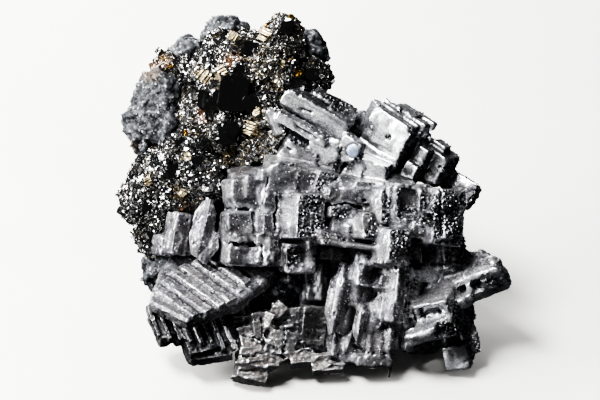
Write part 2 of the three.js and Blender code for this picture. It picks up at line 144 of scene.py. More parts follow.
soft_box("left soft box", (-380, -80, 150), (220, 150), 3.9)
soft_box("low front panel", (-90, -130, 6), (130, 100), 0.06)
soft_box("high soft box", (-200, -160, 520), (220, 160), 9.5)
soft_box("back left light", (-240, 340, 240), (120, 120), 1.5)
soft_box("back soft box", (-120, 440, 110), (260, 200), 4.5)
bpy.context.scene.view_settings.look = "AgX - High Contrast"

# %% [markdown]
# Colours are written as the hex values that a paint program shows, and one function turns them
# into the linear numbers that a shader adds up. A second adds any kind of node, with its settings
# and links. It could have been one function for each kind, but one is enough to learn.

# %% Colours and nodes
def linear(hex_colour):
    """An sRGB hex colour as linear red, green, blue and alpha."""
    parts = [int(hex_colour[i:i + 2], 16) / 255 for i in (1, 3, 5)]
    return tuple(p / 12.92 if p <= 0.04045 else ((p + 0.055) / 1.055) ** 2.4 for p in parts) + (1.0,)


def add_node(tree, kind, inputs=(), **settings):
    """A new node. Inputs go by name, or in order, and each is a value, an output or a whole node."""
    made = tree.nodes.new("ShaderNode" + kind)
    for name, value in settings.items():
        setattr(made, name, value)
    if isinstance(inputs, dict):
        pairs = [(made.inputs[name], value) for name, value in inputs.items()]
    else:
        pairs = zip([socket for socket in made.inputs if socket.enabled], inputs)
    for socket, value in pairs:
        if isinstance(value, bpy.types.Node):
            value = next(output for output in value.outputs if output.enabled)
        if isinstance(value, bpy.types.NodeSocket):
            tree.links.new(value, socket)
        else:
            socket.default_value = value
    return made


def new_material(name):
    """A material with nothing in it, the function that adds its nodes, and its Object coordinates."""
    material = bpy.data.materials.new(name)
    material.use_nodes = True
    material.node_tree.nodes.clear()
    add = partial(add_node, material.node_tree)
    return material, add, add("TexCoord").outputs["Object"]


def marks(size_mm):
    """The scale of a pattern on Object coordinates whose marks are this many millimetres apart."""
    return 1 / (size_mm * MM)


print("lead grey in linear light:", [round(c, 3) for c in linear("#8f9299")])

# %% [markdown]
# Tiny crystals flash one by one, because each lies its own way. A Voronoi texture cuts the surface
# into cells and gives each one a random colour, which serves twice here: read as a direction it
# leans the cell's normal, and read as a number it makes the cell lighter or darker.

# %% Grains that flash
def grain_cells(add, at, size_mm):
    """Voronoi cells of one grain's size: a random colour, and the same as three numbers."""
    cells = add("TexVoronoi", {"Vector": at, "Scale": marks(size_mm)}).outputs["Color"]
    return cells, add("SeparateColor", (cells,)).outputs


def leaned(add, cells, tilt):
    """The surface normal, leant its own way in every cell."""
    lean = add("VectorMath", (cells, (0.5, 0.5, 0.5)), operation="SUBTRACT")
    share = add("VectorMath", (lean, tilt), operation="SCALE")
    leaning = add("VectorMath", (add("NewGeometry").outputs["Normal"], share), operation="ADD")
    return add("VectorMath", (leaning,), operation="NORMALIZE")


print("a scale for grains of a quarter of a millimetre:", marks(0.25))

# %% [markdown]
# Galena is a lead sulphide that shines like fresh lead. Clean faces are smooth metal. Faces that
# met the air long ago carry a film, frosted a purplish grey, that scatters light as chalk does, so
# they are less metallic and rougher. The ends where growth stopped are crusted with tiny black
# crystals. Ridges get a painted highlight, hollows painted shade, and single grains painted glints.
# Attributes worked out from each piece's shape say where.

# %% Galena
GRAIN_MM = 0.22  # the frosting's real grain is nearer 0.1 mm, and is drawn coarser so that it shows
CLOUD_MM = 2.2  # how far apart the film's thicker and thinner places are
GRIT_MM = 0.5


def galena_material():
    """Grown galena: a mirror of fresh lead under frosting and crust, with painted shade and highlights that
    the attributes place.
    """
    material, add, at = new_material("galena, grown faces")
    names = ("rough", "frost", "hollow", "ridge", "tarnish")
    found = [add("Attribute", attribute_name=name).outputs["Fac"] for name in names]
    rough, frost, hollow, ridge, tarnish = found
    cells, cell = grain_cells(add, at, GRAIN_MM)
    cloud = add("TexNoise", {"Vector": at, "Scale": marks(CLOUD_MM), "Detail": 4.0})
    grit = add("TexNoise", {"Vector": at, "Scale": marks(GRIT_MM), "Detail": 3.0, "Roughness": 0.65})

    frost_off_ridges = add("MapRange", (add("Math", (frost, ridge), operation="SUBTRACT"), 0.0, 1.0))
    clouded = add("MapRange", (cloud, 0.35, 0.6, 0.8))
    frosting = add("Math", (frost_off_ridges, clouded), operation="MULTIPLY")
    worn = add("MapRange", (cloud, 0.4, 0.65))
    clean = add("Mix", (worn, linear("#e2e3e5"), linear("#c9cacd")), data_type="RGBA")
    gritty = add("MapRange", (grit, 0.35, 0.65))
    film = add("Mix", (gritty, linear("#333236"), linear("#57565b")), data_type="RGBA")
    colour = add("Mix", (frosting, clean, film), data_type="RGBA")
    brown = add("Math", (tarnish, 0.6), operation="MULTIPLY")
    colour = add("Mix", (brown, colour, linear("#6e6253")), data_type="RGBA")
    shade = add("MapRange", (cell["Red"], 0.0, 1.0, 0.45, 1.55))
    colour = add("VectorMath", (colour, shade), operation="SCALE")
    # painted glints: a few cells of the black crust are lightened to pale grey
    crust_painted_glint = add("MapRange", (cell["Green"], 0.89, 0.93))
    crust = add("Mix", (crust_painted_glint, linear("#131315"), linear("#9c9da2")), data_type="RGBA")
    colour = add("Mix", (rough, colour, crust), data_type="RGBA")
    # painted highlight: the ridges' colour is lightened towards a pale metal grey
    painted_ridge_highlight = add("Math", (ridge, 0.7), operation="MULTIPLY")
    colour = add("Mix", (painted_ridge_highlight, colour, linear("#c9cace")), data_type="RGBA")
    # painted glints: a few grains on the frosted faces are lightened to near white
    flash = add("MapRange", (cell["Blue"], 0.978, 0.988))
    painted_glint = add("Math", (flash, frosting), operation="MULTIPLY")
    colour = add("Mix", (painted_glint, colour, linear("#e4e4e6")), data_type="RGBA")
    # painted shade: the hollows and the shaded spots are darkened towards black
    painted_hollow_shade = add("MapRange", (hollow, 0.1, 0.9, 0.0, 0.85))
    colour = add("Mix", (painted_hollow_shade, colour, linear("#0e0e11")), data_type="RGBA")

    gloss = add("MapRange", (frosting, 0.0, 1.0, 0.34, 0.52))
    metal = add("MapRange", (frosting, 0.0, 1.0, 1.0, 0.65))
    tilt = add("Math", (rough, 1.1, 0.1), operation="MULTIPLY_ADD")
    tilt = add("Math", (frosting, 0.22, tilt), operation="MULTIPLY_ADD")
    bump = add("Bump", {
        "Height": grit, "Strength": 0.3, "Distance": 0.08 * MM, "Normal": leaned(add, cells, tilt),
    })
    shader = add("BsdfPrincipled", {
        "Base Color": colour, "Metallic": metal, "Roughness": gloss, "Normal": bump,
    })
    add("OutputMaterial", {"Surface": shader})
    return material


galena = galena_material()
print(galena.name, len(galena.node_tree.nodes), "nodes")

# %% [markdown]
# Massive galena has no crystal faces of its own: it is a mass of small grains, each broken along
# its cleavage, so it looks duller and bluer. Sparks where a grain's flat would catch the light are
# painted on as pale grains, and its hollows and ridges get painted shade and highlights.

# %% Massive ore
ORE_GRAIN_MM = 0.34  # the real grains are 0.1 to 0.4 mm across, and the coarse end is drawn
ORE_CLOUD_MM = 3


def ore_material():
    """Broken ore: a dull half-metal, with painted shade in the hollows and a painted glint on one grain in
    twenty.
    """
    material, add, at = new_material("massive galena, broken")
    names = ("hollow", "rust", "ridge")
    hollow, rust, ridge = [add("Attribute", attribute_name=name).outputs["Fac"] for name in names]
    cells, cell = grain_cells(add, at, ORE_GRAIN_MM)
    cloud = add("TexNoise", {"Vector": at, "Scale": marks(ORE_CLOUD_MM), "Detail": 5.0})

    clouded = add("MapRange", (cloud, 0.35, 0.65))
    colour = add("Mix", (clouded, linear("#1d1e20"), linear("#313337")), data_type="RGBA")
    # painted highlight: the ridges are lightened
    painted_ridge_highlight = add("Math", (ridge, 0.6), operation="MULTIPLY")
    colour = add("Mix", (painted_ridge_highlight, colour, linear("#6a6c70")), data_type="RGBA")
    shade = add("MapRange", (cell["Red"], 0.0, 1.0, 0.45, 1.6))
    colour = add("VectorMath", (colour, shade), operation="SCALE")
    # painted glints: about one grain in twenty is lightened
    painted_glint = add("MapRange", (cell["Green"], 0.94, 0.97))
    colour = add("Mix", (painted_glint, colour, linear("#a2a4a9")), data_type="RGBA")
    stained = add("Math", (rust, 0.7), operation="MULTIPLY")
    colour = add("Mix", (stained, colour, linear("#4c3a28")), data_type="RGBA")
    # painted shade: the hollows are darkened towards black
    painted_hollow_shade = add("MapRange", (hollow, 0.05, 0.8, 0.0, 0.9))
    colour = add("Mix", (painted_hollow_shade, colour, linear("#0f1012")), data_type="RGBA")
    gloss = add("MapRange", (cell["Blue"], 0.0, 1.0, 0.66, 0.42))
    bump = add("Bump", {
        "Height": cloud, "Strength": 0.5, "Distance": 0.5 * MM, "Normal": leaned(add, cells, 0.8),
    })
    shader = add("BsdfPrincipled", {
        "Base Color": colour, "Metallic": 0.35, "Roughness": gloss, "Normal": bump,
    })
    add("OutputMaterial", {"Surface": shader})
    return material


ore = ore_material()
print(ore.name, len(ore.node_tree.nodes), "nodes")

# %% [markdown]
# Sphalerite rich in iron is nearly black, and bends light more than most gems do, so its small
# faces flash. It isn't a metal, but the crust is a mixture: bronze and silver grains of pyrite and
# galena grew among the black ones. The sparkle attribute says how many of them there are at a
# place, bright and brass mark single crystals, and rust the stains where iron has weathered.

# %% Sphalerite
SPHALERITE_IOR = 2.37
GLINT_MM = 0.32  # as wide as the grains of the crust that catch the light one by one
FINE_MM = 0.6


def sphalerite_material():
    """Sphalerite: black and glassy, with metal grains as often as the sparkle attribute says."""
    material, add, at = new_material("sphalerite, black and resin brown")
    names = ("sparkle", "bright", "brass", "rust")
    found = [add("Attribute", attribute_name=name).outputs["Fac"] for name in names]
    sparkle, bright, brass, rust = found
    cells, cell = grain_cells(add, at, GLINT_MM)
    chance = add("Math", (sparkle, 0.6, cell["Red"]), operation="MULTIPLY_ADD")
    glint = add("Math", (add("MapRange", (chance, 1.0, 1.08)), bright), operation="MAXIMUM")
    lit = add("Math", (glint, brass), operation="MAXIMUM")

    grown = add("Math", (add("MapRange", (sparkle, 0.02, 0.1)), cell["Green"]), operation="MULTIPLY")
    colour = add("Mix", (grown, linear("#080808"), linear("#23211e")), data_type="RGBA")
    stained = add("Math", (rust, 0.8), operation="MULTIPLY")
    colour = add("Mix", (stained, colour, linear("#5c3d22")), data_type="RGBA")
    silver = add("Mix", (cell["Blue"], linear("#75664a"), linear("#c4b799")), data_type="RGBA")
    colour = add("Mix", (glint, colour, silver), data_type="RGBA")
    colour = add("Mix", (brass, colour, linear("#b98f3e")), data_type="RGBA")
    tilt = add("MapRange", (sparkle, 0.02, 0.2, 0.06, 0.9))
    gloss = add("MapRange", (sparkle, 0.02, 0.4, 0.15, 0.26))
    gloss = add("Math", (gloss, add("Math", (bright, 0.4), operation="MULTIPLY")), operation="MAXIMUM")
    fine = add("TexNoise", {"Vector": at, "Scale": marks(FINE_MM), "Detail": 3.0})
    bump = add("Bump", {
        "Height": fine, "Strength": 0.2, "Distance": 0.1 * MM, "Normal": leaned(add, cells, tilt),
    })
    shader = add("BsdfPrincipled", {
        "Base Color": colour, "Metallic": lit, "Roughness": gloss, "IOR": SPHALERITE_IOR, "Normal": bump,
    })
    add("OutputMaterial", {"Surface": shader})
    return material


sphalerite = sphalerite_material()
print(sphalerite.name, len(sphalerite.node_tree.nodes), "nodes")

# %% [markdown]
# The floor is a sheet of pale matt board. It is kept out of the metal's reflections and throws no
# light back up, as a photographer does by laying black card just outside the picture, so the
# crystals keep their depth.

# %% The floor
FLOOR_SIZE = 3.0
BOARD_CLOUD_MM = 30


def board_material():
    """Matt board, with the faintest cloudiness."""
    material, add, at = new_material("pale matt board")
    tooth = add("TexNoise", {"Vector": at, "Scale": marks(BOARD_CLOUD_MM), "Detail": 2.0})
    colour = add("Mix", (tooth, linear("#cfceca"), linear("#d6d5d2")), data_type="RGBA")
    shader = add("BsdfPrincipled", {"Base Color": colour, "Roughness": 0.9})
    add("OutputMaterial", {"Surface": shader})
    return material


def finished(bm, name):
    """A bmesh as an object in the scene."""
    mesh = bpy.data.meshes.new(name)
    bm.to_mesh(mesh)
    bm.free()
    piece = bpy.data.objects.new(name, mesh)
    bpy.context.scene.collection.objects.link(piece)
    return piece


floor_bm = bmesh.new()
bmesh.ops.create_grid(floor_bm, x_segments=1, y_segments=1, size=FLOOR_SIZE / 2)
floor = finished(floor_bm, "floor")
floor.data.materials.append(board_material())
floor.visible_glossy = False
floor.visible_diffuse = False
print("floor:", FLOOR_SIZE, "m square")

# %% [markdown]
# The crystals stand in a few settings, each a direction that a whole group of cubes shares. The
# display face leans back, and its own frame, with millimetres to the right, up the face and out of
# it, is where the settings are read. A setting's fourth number is a turn about its own last axis.
# Every growth mark below follows the setting of its region.

# %% Settings of the crystals
FACE_MIDDLE = AIM + right * 3 * MM
FACE_AXES = np.array((right, up, out))  # the display face's own axes, as rows, in world directions

SLABS = (22, 0, -30)
CUBES = (20, -20, -34)
BAND = (0, 30, -2)
COLUMNS = (0, 45, -8)
ARMS = (34, -20, 17)
STRIATED = (-50, -6, -2, -42)
SPEARS = (0, 12, -14)
FLAKES = (-18, 12, 4)


def setting_axes(turn):
    """The three axes of a setting, as rows, in the display face's frame."""
    own = Matrix.Rotation(math.radians(sum(turn[3:])), 3, "Z")
    return np.array((Euler([math.radians(t) for t in turn[:3]], "XYZ").to_matrix() @ own).transposed())


ARMS_CORNER = (17.5, -13)  # the arms are right of and below this, in millimetres on the face
COLUMNS_TOP = -12.5
SLABS_CORNER = (8, 7.5)  # the slabs are left of and above this
CUBES_BOTTOM = 3


def cluster_settings(places):
    """The setting of each place on the main cluster, as a list of (mask, setting)."""
    u, v = places[:, 0], places[:, 1]
    arms = (u > ARMS_CORNER[0]) & (v < ARMS_CORNER[1])
    columns = ~arms & (v < COLUMNS_TOP)
    upper = (v > SLABS_CORNER[1]) & (u < SLABS_CORNER[0])
    cubes = ~upper & (v > CUBES_BOTTOM) & (u >= SLABS_CORNER[0])
    band = ~(arms | columns | upper | cubes)
    return [(arms, ARMS), (columns, COLUMNS), (upper, SLABS), (cubes, CUBES), (band, BAND)]


def one_setting(turn):
    """A settings function for a piece whose crystals share one setting."""
    return lambda places: [(np.ones(len(places), bool), turn)]


def on_display_face(points):
    """World points, in metres, as millimetres in the display face's frame."""
    return (points - np.array(FACE_MIDDLE)) @ FACE_AXES.T / MM


print("the band's first axis:", setting_axes(BAND)[0].round(2))

# %% [markdown]
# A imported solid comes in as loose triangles, so a copy is merged first. The grown pieces are then
# fused at a fine voxel size, which rounds the sharp model edges as slow growth does, and gives
# enough small faces to carve. The voxel size is the finest relief that the piece can carry.

# %% Copies and fusing
def merged_copy(node):
    """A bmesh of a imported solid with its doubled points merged."""
    bm = bmesh.new()
    bm.from_mesh(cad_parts[node].data)
    bmesh.ops.remove_doubles(bm, verts=bm.verts, dist=0.001 * MM)
    bm.normal_update()
    return bm


def modified(piece, kind, **settings):
    """Applies one modifier to a piece."""
    modifier = piece.modifiers.new(kind.lower(), kind)
    for name, value in settings.items():
        setattr(modifier, name, value)
    graph = bpy.context.evaluated_depsgraph_get()
    mesh = bpy.data.meshes.new_from_object(piece.evaluated_get(graph))
    piece.modifiers.clear()
    piece.data = mesh
    print(piece.name, kind.lower(), "gives", len(mesh.polygons), "faces")


def fuse(piece, voxel_mm):
    """Makes the piece one closed skin of small even faces."""
    modified(piece, "REMESH", mode="VOXEL", voxel_size=voxel_mm * MM, use_smooth_shade=True)


def thin_out(piece, most):
    """Joins faces where the piece is flattest, until it has no more triangles than this."""
    triangles = sum(len(face.vertices) - 2 for face in piece.data.polygons)
    if triangles > most:
        modified(piece, "DECIMATE", ratio=most / triangles)
    piece.data.shade_smooth()


def hand_over(piece, material, node=None):
    """Gives a piece its material and body, and puts it in its solid's place."""
    piece.data.materials.clear()
    piece.data.materials.append(material)
    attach(piece, "root")
    if node:
        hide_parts(node)
    print(piece.name, len(piece.data.polygons), "faces")


print("triangles as packed:", {name: len(node.data.polygons) for name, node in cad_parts.items()})

# %% [markdown]
# Carving a piece of a hundred thousand points one by one is slow, so its points are read into
# arrays, moved all at once, and put back. The specimen rests on its cut base, so no point may go
# below the floor.

# %% Points in bulk
def points_of(mesh):
    """Where the mesh's points are, as rows, in metres."""
    flat = np.empty(len(mesh.vertices) * 3)
    mesh.vertices.foreach_get("co", flat)
    return flat.reshape(-1, 3)


def normals_of(mesh):
    """The direction that the surface faces at each point, as rows."""
    flat = np.empty(len(mesh.vertices) * 3)
    mesh.vertex_normals.foreach_get("vector", flat)
    return flat.reshape(-1, 3)


def put_points(mesh, points):
    """Moves the mesh's points, and lays those that would go below the floor on it."""
    points[:, 2] = np.maximum(points[:, 2], 0)
    mesh.vertices.foreach_set("co", points.ravel())
    mesh.update()


def push(mesh, heights_mm):
    """Moves each point out along its normal by its height."""
    put_points(mesh, points_of(mesh) + normals_of(mesh) * heights_mm[:, None] * MM)


def put_attribute(mesh, name, values):
    """Gives each point a number that a material can read."""
    attribute = mesh.attributes.new(name, "FLOAT", "POINT")
    attribute.data.foreach_set("value", np.clip(values, 0, 1).astype(np.float32))


def eased(mesh, values, rounds):
    """Values averaged with their neighbours' along the mesh's edges, so many rounds."""
    ends = np.empty(len(mesh.edges) * 2, dtype=np.int64)
    mesh.edges.foreach_get("vertices", ends)
    first, second = ends[0::2], ends[1::2]
    count = len(mesh.vertices)
    degree = np.maximum(np.bincount(ends, minlength=count), 1)
    values = values.reshape(count, -1).copy()
    for _ in range(rounds):
        for column in values.T:
            total = np.bincount(first, column[second], count) + np.bincount(second, column[first], count)
            column[:] = total / degree
    return values


def noise_at(places, size, seed=0.0):
    """Noise at each place, in marks of this size in millimetres."""
    scaled = places / np.array(size) + seed
    return np.array([noise.noise(Vector(p)) for p in scaled])


def swells_at(places, swells):
    """Noises added up, each given by the size of its marks, its seed and its height."""
    return sum(noise_at(places, size, seed) * height for size, seed, height in swells)


def facing(piece, direction, low, high):
    """How far each point of a piece faces a direction of the display face, from 0 to 1."""
    towards = np.array(Vector(direction).normalized()) @ FACE_AXES
    return np.clip((normals_of(piece.data) @ towards - low) / (high - low), 0, 1)


print("noise at two places a millimetre apart:", noise_at(np.array([[1.0, 2, 3], [2, 2, 3]]), 2.5).round(2))

# %% [markdown]
# Edges grow first. Taking the difference between a surface and a smoothed copy of it, and adding
# it on again, lifts a rim along every edge and sinks the middle of every face a little, as on a
# hollow-grown crystal. The same difference tells the material where the hollows and ridges are.

# %% Rims and hollows
def lift_of(piece, rounds):
    """How far each point stands off a smoothed copy of the surface, as rows in metres."""
    points = points_of(piece.data)
    return points - eased(piece.data, points, rounds)


def raise_rims(piece, rounds, amounts):
    """Lifts the piece's edges into rims, by an amount for each point."""
    put_points(piece.data, points_of(piece.data) + lift_of(piece, rounds) * amounts[:, None])


def hollow_of(piece, rounds):
    """How hollow each point is, in millimetres, and less than nothing on a ridge."""
    hollow = -np.einsum("ij,ij->i", lift_of(piece, rounds), normals_of(piece.data)) / MM
    print(piece.name, "hollows", hollow.max().round(2), "mm and ridges", -hollow.min().round(2), "mm")
    return hollow


def soften(piece, rounds, share=1.0):
    """Rounds off what is sharp, wholly or by a share given for each point."""
    points = points_of(piece.data)
    share = np.broadcast_to(share, len(points))[:, None]
    put_points(piece.data, points + (eased(piece.data, points, rounds) - points) * share)


RELIEF_ROUNDS = 5
print("reliefs are measured against", RELIEF_ROUNDS, "rounds of smoothing")

# %% [markdown]
# A galena face is a mosaic of square blocks, each a little higher or lower than the next, with
# steps round its middle. Voronoi noise has square cells when distance is measured along the axes,
# so in the coordinates of a setting it lays out such a mosaic, stretched where crystals are long.

# %% The mosaic of growth blocks
BLOCK_EDGE = 2.2  # the larger, the narrower the band along a block's edge that counts as edge
SCRAMBLE = 7.31  # takes neighbouring cells far apart, so that their random numbers differ
FACET_SCRAMBLE = 31.7  # does the same for the facets' cells
SHOWS = 0.05  # a share under which no facet is worth the time


def mosaic(places, settings, cell_mm, seed):
    """Block heights from -1 to 1, and how near the edge of its block each place is, from 0 to 1."""
    heights = np.zeros(len(places))
    edges = np.zeros(len(places))
    for mask, turn in settings(places):
        size = np.array(cell_mm[turn])
        along = places[mask] @ setting_axes(turn).T / size + seed
        found_heights = []
        found_edges = []
        for spot in along:
            distances, cells = noise.voronoi(Vector(spot), distance_metric="CHEBYCHEV")
            found_heights.append(noise.cell(cells[0] * SCRAMBLE + Vector((0.5, 0.5, 0.5))))
            found_edges.append(1 - min((distances[1] - distances[0]) * BLOCK_EDGE, 1))
        heights[mask] = found_heights
        edges[mask] = found_edges
    return heights, edges


def crust_over(piece, rough, size_mm, height_mm):
    """Covers the rough parts of a piece with small tilted facets of this size."""
    mesh = piece.data
    points = points_of(mesh) / (size_mm * MM)
    heights = np.zeros(len(points))
    for i in np.nonzero(rough > SHOWS)[0]:
        spot = Vector(points[i])
        cell = noise.voronoi(spot)[1][0]
        lean = noise.cell_vector(cell * FACET_SCRAMBLE) * 2 - Vector((1, 1, 1))
        heights[i] = (spot - cell).dot(lean) * rough[i] * height_mm
    push(mesh, heights)
    print(piece.name, "has facets on", round(float(np.mean(rough > SHOWS)), 2), "of its points")


two_places = np.array([[0.0, 0, 0], [4, 0, 0]])
two_blocks = mosaic(two_places, one_setting(BAND), {BAND: (3, 3, 3)}, seed=0.4)[0]
print("two blocks of the band, four millimetres apart, stand at", two_blocks.round(2))

# %% [markdown]
# Small crystals sit along the faces of the large ones, turned the same way and mostly sunk in.
# They are plain blocks, put on the solid before it is fused. Those that show most are named by the
# pixel where they are seen, and a ray from the camera finds the face that carries them. The rest
# are scattered, and none is put on a face that looks down.

# %% Small crystals on the large
BLOCK_DEPTH = 3.2
BLOCK_SPREAD = (0.6, 1.3)  # how much smaller and larger than its setting's size a block may be
LEAST_SHARE = 0.05  # of each corner in a scattered block's place, so that it is never quite in one
LOOKING_DOWN = -0.2  # how far a face's normal may point down before it carries no crystals


def block_axes(settings, spot):
    """The setting at a spot, and the world directions of its axes as a matrix's columns."""
    place = on_display_face(np.array([spot]))
    turn = next(turn for mask, turn in settings(place) if mask[0])
    return turn, Matrix((setting_axes(turn) @ FACE_AXES).tolist()).transposed()


def sink_block(bm, spot, normal, axes, size_mm, stand_mm):
    """A block sunk in a face, that stands out of it by stand_mm."""
    half = sum(abs(normal.dot(axes.col[i])) * size_mm[i] for i in range(3)) / 2
    centre = spot - normal * (half - stand_mm) * MM
    shape = Matrix.Diagonal([s * MM for s in size_mm]).to_4x4()
    bmesh.ops.create_cube(bm, size=1.0, matrix=Matrix.Translation(centre) @ axes.to_4x4() @ shape)


def add_seen_crystals(bm, settings, growths):
    """Blocks placed by pixel: x, y, width and height in pixels, and how far each stands out."""
    tree = BVHTree.FromBMesh(bm)
    for x, y, width, height, stand_mm in growths:
        spot, normal, _, _ = tree.ray_cast(camera_at, photo_ray(x, y))
        if spot is None:
            continue
        axes = block_axes(settings, spot)[1]
        deep = max(range(3), key=lambda i: abs(normal.dot(axes.col[i])))
        wide = max((i for i in range(3) if i != deep), key=lambda i: abs(axes.col[i].dot(right)))
        size = [height * PIXEL_MM] * 3
        size[deep] = BLOCK_DEPTH
        size[wide] = width * PIXEL_MM
        sink_block(bm, spot, normal, axes, size, stand_mm)
    print(len(growths), "crystals named by pixel")


def scatter_crystals(bm, settings, count, seed, sizes_mm, stand_mm):
    """Blocks scattered over a galena solid, in the settings that have a size, turned as these are."""
    source = random.Random(seed)
    faces = [face for face in bm.faces if face.normal.z > LOOKING_DOWN]
    chosen = source.choices(faces, weights=[face.calc_area() for face in faces], k=count)
    spots = []
    for face in chosen:
        shares = [source.random() + LEAST_SHARE for _ in face.verts]
        spot = sum((vert.co * s for vert, s in zip(face.verts, shares)), Vector()) / sum(shares)
        spots.append((spot, face.normal.copy()))
    for spot, normal in spots:
        turn, axes = block_axes(settings, spot)
        if turn in sizes_mm:
            size = [source.uniform(*BLOCK_SPREAD) * s for s in sizes_mm[turn]]
            sink_block(bm, spot, normal, axes, size, source.uniform(*stand_mm))
    print(count, "scattered crystals")


print("a crystal named by pixel reaches", BLOCK_DEPTH, "mm into its face")

# %% [markdown]
# Etching left round pits in the faces. Each is a smooth push inwards at one spot. A wide ring of a
# groove, made in the same way, goes round the small blister on the pale face.

# %% Pits
PIT_RADII_MM = (0.3, 0.5)
PIT_DEPTHS = (0.5, 1.1)  # of the radius


def sink_pits(piece, seen_pits, count, seed):
    """Sinks the pits named by pixel x, y, radius, depth and ring radius, and many small ones."""
    tree = BVHTree.FromObject(piece, bpy.context.evaluated_depsgraph_get())
    points = points_of(piece.data)
    normals = normals_of(piece.data)
    pits = []
    for x, y, radius_mm, depth_mm, ring_mm in seen_pits:
        spot, normal, _, _ = tree.ray_cast(camera_at, photo_ray(x, y))
        if spot:
            pits.append((np.array(spot), np.array(normal), radius_mm, depth_mm, ring_mm))
    source = random.Random(seed)
    for _ in range(count):
        i = source.randrange(len(points))
        radius_mm = source.uniform(*PIT_RADII_MM)
        pits.append((points[i].copy(), normals[i], radius_mm, radius_mm * source.uniform(*PIT_DEPTHS), 0))
    for spot, normal, radius_mm, depth_mm, ring_mm in pits:
        off = np.abs(np.linalg.norm(points - spot, axis=1) / MM - ring_mm) / radius_mm
        near = off < 1
        points[near] -= np.outer((1 - off[near] ** 2) * depth_mm * MM, normal)
    put_points(piece.data, points)
    print(piece.name, "has", len(pits), "pits")


print("small pits are", 2 * PIT_RADII_MM[0], "to", 2 * PIT_RADII_MM[1], "mm wide")

# %% [markdown]
# Where blocks failed to join there are splits, black because no light comes out of them. They are
# named by the two pixels that they run between, and a little noise keeps them from being straight.

# %% Splits
WANDER_MM = 1.2  # how long the bends of a split are
WANDER_PIXELS = 2  # and how far they go aside


def carve_splits(piece, splits):
    """Sinks a split along each line of pixels x, y to x, y, given its half width in pixels and depth."""
    points = points_of(piece.data)
    pixels = seen_at(points) + noise_at(on_display_face(points), WANDER_MM, 3.0)[:, None] * WANDER_PIXELS
    depth = np.zeros(len(points))
    for x0, y0, x1, y1, half_width, depth_mm in splits:
        along = np.array((x1 - x0, y1 - y0))
        from_start = pixels - (x0, y0)
        share = np.clip(from_start @ along / (along @ along), 0, 1)
        off = np.linalg.norm(from_start - share[:, None] * along, axis=1) / half_width
        depth = np.maximum(depth, np.clip(1 - off ** 2, 0, 1) * depth_mm)
    push(piece.data, -depth * facing(piece, (0, 0, 1), low=0.05, high=0.3))
    print(piece.name, "has", len(splits), "splits")


print("splits wander up to", round(WANDER_PIXELS * PIXEL_MM, 2), "mm aside")

# %% [markdown]
# A galena piece takes all of these in turn. The order matters: blocks are added before the piece
# is fused, corners are rounded before the rims are raised, and pits come last, so that nothing
# smooths them away. How far a crystal's corners have melted away, how high its steps stand and how
# frosted it is depend on its setting, so each setting has its own numbers for these.

# %% Growing a galena piece
MELT_ROUNDS = 20
RIM_ROUNDS = 6
SHADED_SPOTS = [  # the spots where shade is painted on the faces as a dark colour
    (432, 162, 24), (406, 174, 14), (192, 345, 34), (158, 325, 16), (308, 325, 20), (418, 258, 13),
    (293, 256, 12), (456, 330, 14), (334, 101, 12), (438, 213, 23), (460, 350, 14),
]
WEAR = (1.6, 5.0, 1.5)  # the size, seed and strength of the patches where rims are worn or sharp
MOST_RIM = 1.5  # how much of the difference a rim may add
WAVES = [(3.2, 9.0, 0.1), (1.1, 2.0, 0.025)]  # the size, seed and height of a face's gentle waves
LEAST_WAVE = 0.4  # the share of the waves where nothing has melted
EDGE_DIP = 0.8  # how deep the joint between two blocks is, as a share of their step
FACET_MM = 0.62  # the width of the facets on the granular crust, and their height
FACET_HEIGHT_MM = 0.5
SHADE_GAIN = 4.5  # per millimetre of hollow
SHADE_FROM = 0.08  # what is taken off, so that flat faces get no painted shade
SHINE_GAIN = 10  # per millimetre of ridge
SHINE_FROM = 0.4


def by_setting(settings, places, numbers):
    """The number of the setting that each place belongs to."""
    values = np.zeros(len(places))
    for mask, turn in settings(places):
        values[mask] = numbers[turn]
    return values


def grow_galena(piece, node, settings, look):
    """Carves a galena piece, marks it for its material, and hands it over."""
    fuse(piece, look["voxel_mm"])
    places = on_display_face(points_of(piece.data))
    melted = by_setting(settings, places, look["melted"])
    soften(piece, MELT_ROUNDS, melted)
    rims = by_setting(settings, places, look["rims"]) * (1 + swells_at(places, [WEAR]))
    raise_rims(piece, RIM_ROUNDS, np.clip(rims, 0.0, MOST_RIM))
    rough = look["rough"](piece)
    heights, edges = mosaic(places, settings, look["blocks"], seed=0.4)
    step = by_setting(settings, places, look["steps_mm"])
    wave = swells_at(places, WAVES) * (LEAST_WAVE + melted)
    push(piece.data, (heights - 0.5) * step - edges ** 6 * step * EDGE_DIP + wave)
    soften(piece, rounds=1)
    crust_over(piece, rough, FACET_MM, FACET_HEIGHT_MM)
    sink_pits(piece, look["pits"], look["small_pits"], seed=3)
    carve_splits(piece, look["splits"])
    hollow = hollow_of(piece, RELIEF_ROUNDS)
    spot_shade = near_spots(points_of(piece.data), SHADED_SPOTS)
    put_attribute(piece.data, "rough", rough)
    put_attribute(piece.data, "frost", look["frost"](piece, places))
    # the hollow attribute carries the painted shade, here and in hollows; the ridge attribute the painted
    # highlight
    put_attribute(piece.data, "hollow", hollow * SHADE_GAIN - SHADE_FROM + spot_shade)
    put_attribute(piece.data, "ridge", -hollow * SHINE_GAIN - SHINE_FROM)
    put_attribute(piece.data, "tarnish", look["tarnish"] + noise_at(places, size=6, seed=7.0) * 0.4)
    thin_out(piece, look["most"])
    hand_over(piece, galena, node)


print("painted shade lies from", round(SHADE_FROM / SHADE_GAIN, 3), "mm of hollow on")
